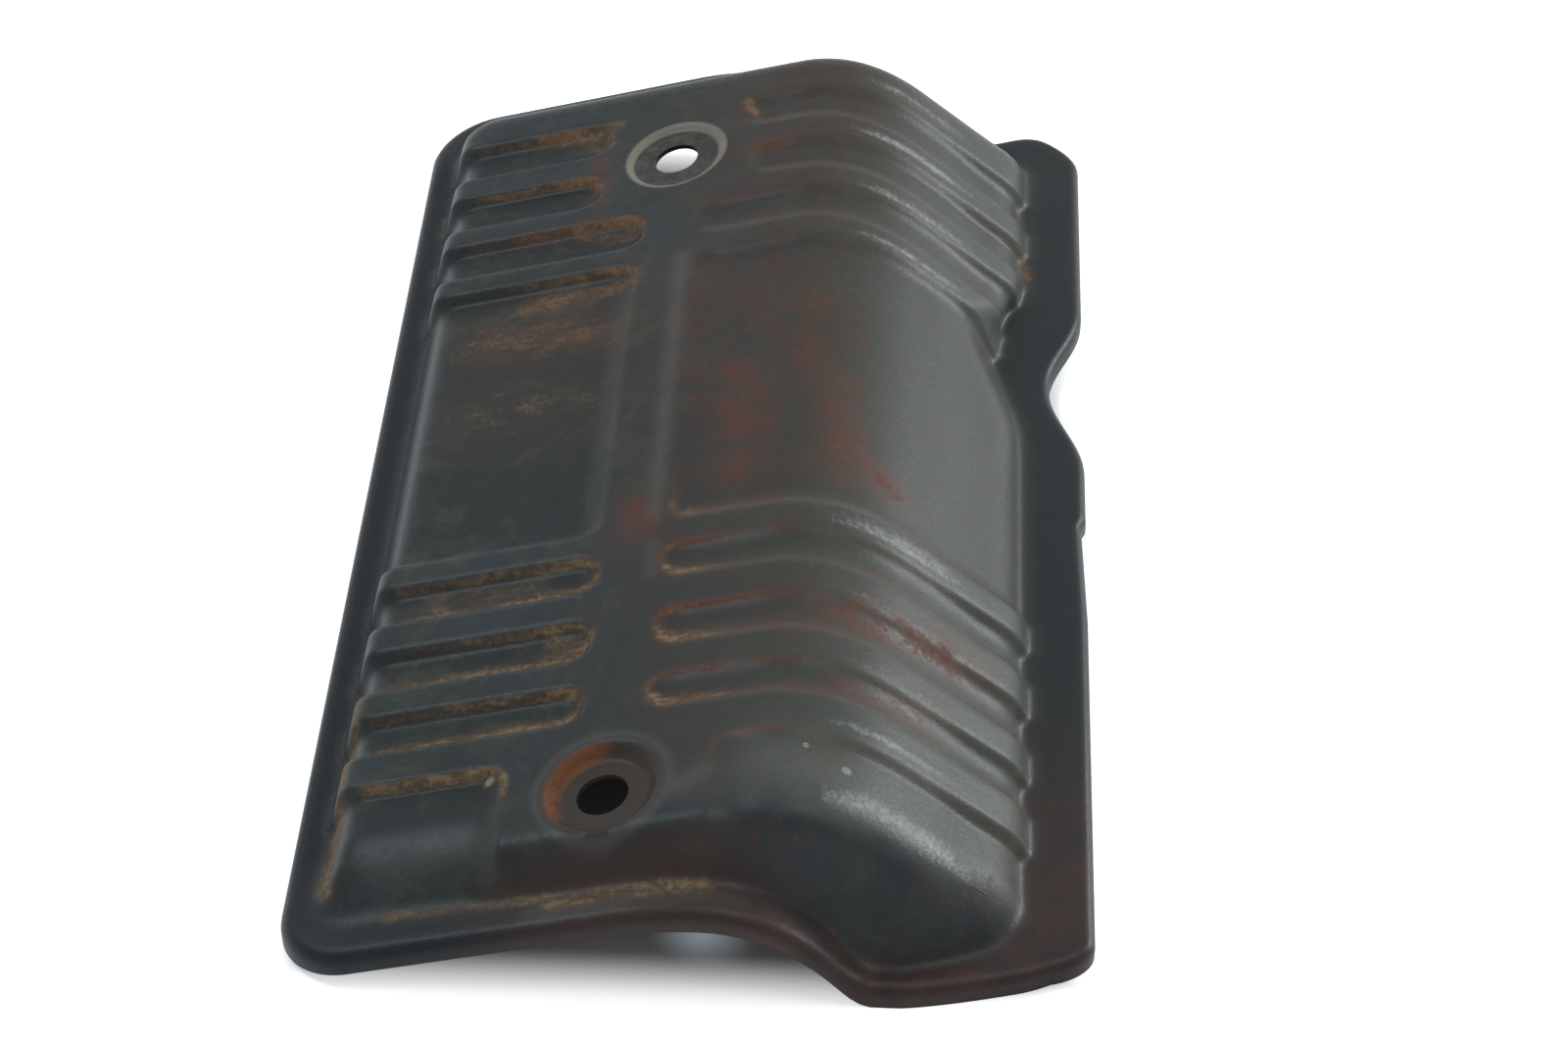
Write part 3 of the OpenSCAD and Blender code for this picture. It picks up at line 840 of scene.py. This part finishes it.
# %% [markdown]
# The two bolt seats look different: the front one has rusted brown, with an orange crescent
# on its left, and the back one kept a pale ring of dust. Their masks are rings round the
# holes, measured in the tilted plane of the crown.

# %% The two bolt seats
def seat_ring(k, low, high, soft=0.5):
    """1 between two radii round bolt hole k, with soft edges."""
    r = (((px - hole_x) / np.cos(tilt)) ** 2.0 + (py - hole_y[k]) ** 2.0) ** 0.5
    return r.step(low - soft, low + soft) * (1.0 - r.step(high - soft, high + soft))


front_seat = seat_ring(1, 0.0, 10.6, 1.0)
# A light grey ring just outside the front seat's rim: a painted highlight on the rim's rounding.
rim_highlight = seat_ring(1, 10.8, 12.4, 1.0)
crescent_side = (px * -0.9 + py * 0.43).step(-26.5, -22.0)
crescent = seat_ring(1, 7.4, 10.2, 0.9) * crescent_side
back_floor = seat_ring(0, 0.0, 8.6)
back_ring = seat_ring(0, 8.9, 10.6, 0.45)
ring_side = (px * -0.6 + py * 0.8).step(58.0, 70.0)

# %% [markdown]
# The colours are light values from 0 to 1, dark as old paint is. Rust and dust have a dark
# and a light colour each, because one flat brown would look like paint.

# %% Colours
FLANGE_BLACK = (0.004, 0.008, 0.011, 1)
BLACK_PAINT = (0.012, 0.018, 0.018, 1)
BLUE_BLACK = (0.019, 0.031, 0.038, 1)
GREEN_PAINT = (0.050, 0.050, 0.036, 1)
RED_BROWN = (0.052, 0.025, 0.018, 1)
BROWN_GREY = (0.042, 0.037, 0.030, 1)
GREEN_GREY = (0.052, 0.057, 0.049, 1)
# The darkest paint: laid over the panels' floors it is painted shade, and in random specks it is
# the paint's own colour.
RECESS_SHADE_AND_SPECK = (0.007, 0.011, 0.011, 1)
# Pale grey: rubbed film, and the colour of the painted highlights on the shoulder and rounded
# edges.
GREY_FILM_AND_HIGHLIGHT = (0.105, 0.108, 0.100, 1)
RED_RUST = (0.098, 0.036, 0.024, 1)
ORANGE_RUST = (0.20, 0.075, 0.033, 1)
BROWN_DUST = (0.100, 0.060, 0.036, 1)
GOLD_DUST = (0.240, 0.165, 0.094, 1)
PALE_DUST = (0.155, 0.130, 0.092, 1)
CREAM_DUST = (0.230, 0.210, 0.165, 1)
# Pale worn steel; on the front right edge it also serves as a painted highlight.
WORN_STEEL_AND_HIGHLIGHT = (0.38, 0.37, 0.37, 1)
SEAT_BROWN = (0.036, 0.026, 0.021, 1)
# The painted highlight round the front seat's rim.
SEAT_RIM_HIGHLIGHT = (0.070, 0.070, 0.066, 1)
SOOT = (0.030, 0.024, 0.020, 1)

# %% [markdown]
# Each layer is one line: a mask lays its colour over what is there. The order is the order
# in which it happened to the real sheet. First the paint, which faded unevenly, then the
# rubbed film and the rust, then the dust, and last the seats and a few pale chips. Painted
# shade on the panels' floors and painted highlights on the left shoulder, on rounded edges,
# on the worn front right edge and round the front seat's rim are laid in among these layers.

# %% The paint
left_tone = steel.colour((cloud * 0.5 + mottle * 0.5).step(0.4, 0.62), BLACK_PAINT, BLUE_BLACK)
crest_tone = steel.colour(mottle.step(0.45, 0.68), BROWN_GREY, RED_BROWN)
past_crest = (px + mottle * 24.0 + cloud * 24.0 - py * 0.11).step(30.0, 58.0)
right_tone = steel.colour(past_crest, crest_tone, GREEN_GREY)
tone = steel.colour(right_side * py.step(-106.5, -100.5), left_tone, right_tone)
# Panel floors darker: painted shade in the recesses, stronger on the left.
tone = steel.colour(sunk * (0.75 - right_side * 0.35), tone, RECESS_SHADE_AND_SPECK)
tone = steel.colour(stain.step(0.47, 0.66) * (0.6 - right_side * 0.2), tone, GREEN_PAINT)
tone = steel.colour((speck * 0.6 + mottle * 0.4).step(0.4, 0.62) * 0.34, tone, RECESS_SHADE_AND_SPECK)
tone = steel.colour(flange * 0.85, tone, FLANGE_BLACK)
tone = steel.colour(red_corner * mottle * 0.7, tone, RED_BROWN)
tone = steel.colour(front_low * 0.55, tone, RED_BROWN)
print(len(steel.tree.nodes), "nodes after the paint")

# %% Film, rust, wear and dust over the paint
# The shoulder band is a painted highlight.
tone = steel.colour(shoulder_highlight * 0.4, tone, GREY_FILM_AND_HIGHLIGHT)
# The film lines are partly rubbed film and partly painted highlights.
tone = steel.colour(film_and_highlight * (mottle + 0.25).step(0.3, 0.8), tone, GREY_FILM_AND_HIGHLIGHT)
tone = steel.colour(scatter * (0.5 - flange * 0.4), tone, RED_RUST)
# Painted highlight round the front seat's rim.
tone = steel.colour(rim_highlight * 0.6, tone, SEAT_RIM_HIGHLIGHT)
tone = steel.colour(rust * (mottle + 0.2).step(0.4, 0.9) * 0.85, tone, RED_RUST)
tone = steel.colour(dust * 0.4, tone, BROWN_DUST)
rusty = steel.colour(speck.step(0.5, 0.7), RED_RUST, ORANGE_RUST)
tone = steel.colour(rust_mask * 0.6, tone, rusty)
# Worn pale strips on the right beads; on the front right edge the same colour is a painted
# highlight.
tone = steel.colour(wear_and_highlight_mask * 0.75, tone, WORN_STEEL_AND_HIGHLIGHT)
dusty = steel.colour((streak * 0.5 + speck * 0.5).step(0.42, 0.6), BROWN_DUST, GOLD_DUST)
dusty = steel.colour(py.step(15.0, 45.0) * streak.step(0.42, 0.58) * 0.45, dusty, ORANGE_RUST)
tone = steel.colour(dust_mask * 0.9, tone, dusty)
print(len(steel.tree.nodes), "nodes after the dust")

# %% Seats, chips and the inside
tone = steel.colour(front_seat * 0.9, tone, SEAT_BROWN)
tone = steel.colour(crescent * (mottle * 0.6 + speck * 0.5).step(0.3, 0.6) * 0.9, tone, ORANGE_RUST)
tone = steel.colour(back_floor * (mottle + speck * 0.5).step(0.65, 0.95) * 0.5, tone, PALE_DUST)
ring_grain = (ring_side * 0.5 + mottle + 0.3).step(0.6, 0.95)
tone = steel.colour(back_ring * ring_grain * 0.85, tone, CREAM_DUST)
for chip in chips:
    tone = steel.colour(chip * speck.step(0.3, 0.5), tone, CREAM_DUST)
tone = steel.colour(inner, tone, SOOT)

# %% [markdown]
# Paint is smoother than rust and dust, so the same masks make those spots matt. The bump is
# in metres, like everything in Blender here: a tenth of a millimetre of orange peel in the
# paint, and grit in it. Specular level is low, because old paint has lost its shine.

# %% Gloss, surface relief and the shader
matt = dust_mask.most(rust_mask).most(crescent) * 0.35 + inner * 0.3
rough = matt + speck * 0.16 + 0.33
relief = speck * (0.5 + wear_and_highlight * 0.9) + grit * 0.35 + mottle * 0.6
bump = steel.node("ShaderNodeBump", {}, {"Strength": 0.5, "Distance": 0.00022, "Height": relief})
skin = steel.node("ShaderNodeBsdfPrincipled", {},
                  {"Base Color": tone, "Roughness": rough, "Normal": bump,
                   "Specular IOR Level": 0.19})
steel.node("ShaderNodeOutputMaterial", {}, {0: skin})
shield.data.materials.append(steel.data)
print(len(steel.tree.nodes), "nodes in the finish")

# %% [markdown]
# ## Floor, light and camera
#
# The shield lies on a white table. The table's own light is seen only by the camera and by
# rays that come off gloss or through glass, so that it turns white without more light on
# the steel. It fades out toward the shield, so that the floor under the sheet keeps its
# shadow. The world is white for the same rays, and a plain soft light for all others.

# %% Floor
table = Material("white_table")
rays = table.node("ShaderNodeLightPath").socket.node.outputs
camera_ray, glossy_ray, clear_ray = (Signal(table, rays[f"Is {kind} Ray"])
                                     for kind in ("Camera", "Glossy", "Transmission"))
seen = camera_ray.most(glossy_ray).most(clear_ray)
floor_place = table.node("ShaderNodeTexCoord", output="Object")
floor_split = table.node("ShaderNodeSeparateXYZ", {}, {0: floor_place}).socket.node
floor_x, floor_y = (Signal(table, floor_split.outputs[n]) for n in (0, 1))
side_inset, end_inset, back_shift = 9, 11, 2
fade_run = 0.012
beyond_x = floor_x.size() - (half_w - side_inset) * MM
beyond_y = floor_y.size() - (half_l - end_inset) * MM + floor_y.step(0.0, 0.05) * back_shift * MM
outside_share = beyond_x.most(beyond_y).step(0.0, fade_run)
matt_white = table.node("ShaderNodeBsdfDiffuse", {}, {"Color": (0.9, 0.9, 0.91, 1)})
glow = table.node("ShaderNodeEmission", {},
                  {"Color": (1, 1, 1, 1), "Strength": seen * outside_share * 0.72})
both = table.node("ShaderNodeAddShader", {}, {0: matt_white, 1: glow})
table.node("ShaderNodeOutputMaterial", {}, {0: both})
half_floor = 6.0
floor_mesh = bpy.data.meshes.new("floor")
floor_mesh.from_pydata([(x * half_floor, y * half_floor, cad_low.z) for x, y in
                        ((-1, -1), (1, -1), (1, 1), (-1, 1))], [], [(0, 1, 2, 3)])
floor = bpy.data.objects.new("floor", floor_mesh)
floor_mesh.materials.append(table.data)
bpy.context.collection.objects.link(floor)
print(f"floor {2 * half_floor:.0f} m wide, at the height of the lip's edge")

# %% World
world = bpy.data.worlds.new("studio")
bpy.context.scene.world = world
world.use_nodes = True
sky = world.node_tree
sky.nodes.clear()
rays = sky.nodes.new("ShaderNodeLightPath")
direct = rays.outputs["Is Camera Ray"]
for other in ("Is Glossy Ray", "Is Transmission Ray"):
    most = sky.nodes.new("ShaderNodeMath")
    most.operation = "MAXIMUM"
    sky.links.new(direct, most.inputs[0])
    sky.links.new(rays.outputs[other], most.inputs[1])
    direct = most.outputs[0]
level = sky.nodes.new("ShaderNodeMapRange")
level.inputs["To Min"].default_value = 0.26
level.inputs["To Max"].default_value = 1.0
sky.links.new(direct, level.inputs["Value"])
back = sky.nodes.new("ShaderNodeBackground")
sky.links.new(level.outputs[0], back.inputs["Strength"])
back.inputs["Color"].default_value = (1, 1, 1, 1)
sky_out = sky.nodes.new("ShaderNodeOutputWorld")
sky.links.new(back.outputs[0], sky_out.inputs[0])

# %% [markdown]
# Three soft lamps: a low one like a window at the back right, which draws the beads on the
# slope, a large one above, and a small cool one at the left that lifts the dark beads there.

# %% Lamps
def lamp(name, place, size, watts, tint=(1, 1, 1)):
    """A square soft lamp that faces the middle of the shield."""
    data = bpy.data.lights.new(name, "AREA")
    data.size = size
    data.energy = watts
    data.color = tint
    made = bpy.data.objects.new(name, data)
    made.location = place
    made.rotation_euler = (-Vector(place)).to_track_quat("-Z", "Y").to_euler()
    bpy.context.collection.objects.link(made)
    return made


COOL = (0.92, 0.99, 1.0)
COLD = (0.72, 0.88, 1.0)
lamps = [lamp("lamp_window", (1.34, 0.72, 0.48), 0.45, 18.0, COOL),
         lamp("lamp_above", (0.5, -0.1, 1.7), 0.9, 9.0, COOL),
         lamp("lamp_left", (-0.88, 0.32, 1.29), 0.35, 8.0, COLD)]
print(len(lamps), "lamps,", sum(made.data.energy for made in lamps), "watts")

# %% [markdown]
# The camera stands above the shield's front end and looks down its length, turned a
# little. Its place was worked out from the bolt holes, the straight sides and the beads.

# %% Camera
camera_data = bpy.data.cameras.new("camera")
camera_data.sensor_width = 36.0
camera_data.lens = 81.0
camera = bpy.data.objects.new("camera", camera_data)
camera.location = (0.0350, -0.4965, 0.4526)
camera.rotation_euler = Vector((-0.0353, 0.7378, -0.6741)).to_track_quat("-Z", "Y").to_euler()
bpy.context.collection.objects.link(camera)
bpy.context.scene.camera = camera
bpy.context.scene.view_settings.view_transform = "Standard"
print(f"camera {camera.location.length:.2f} m from the middle of the shield")
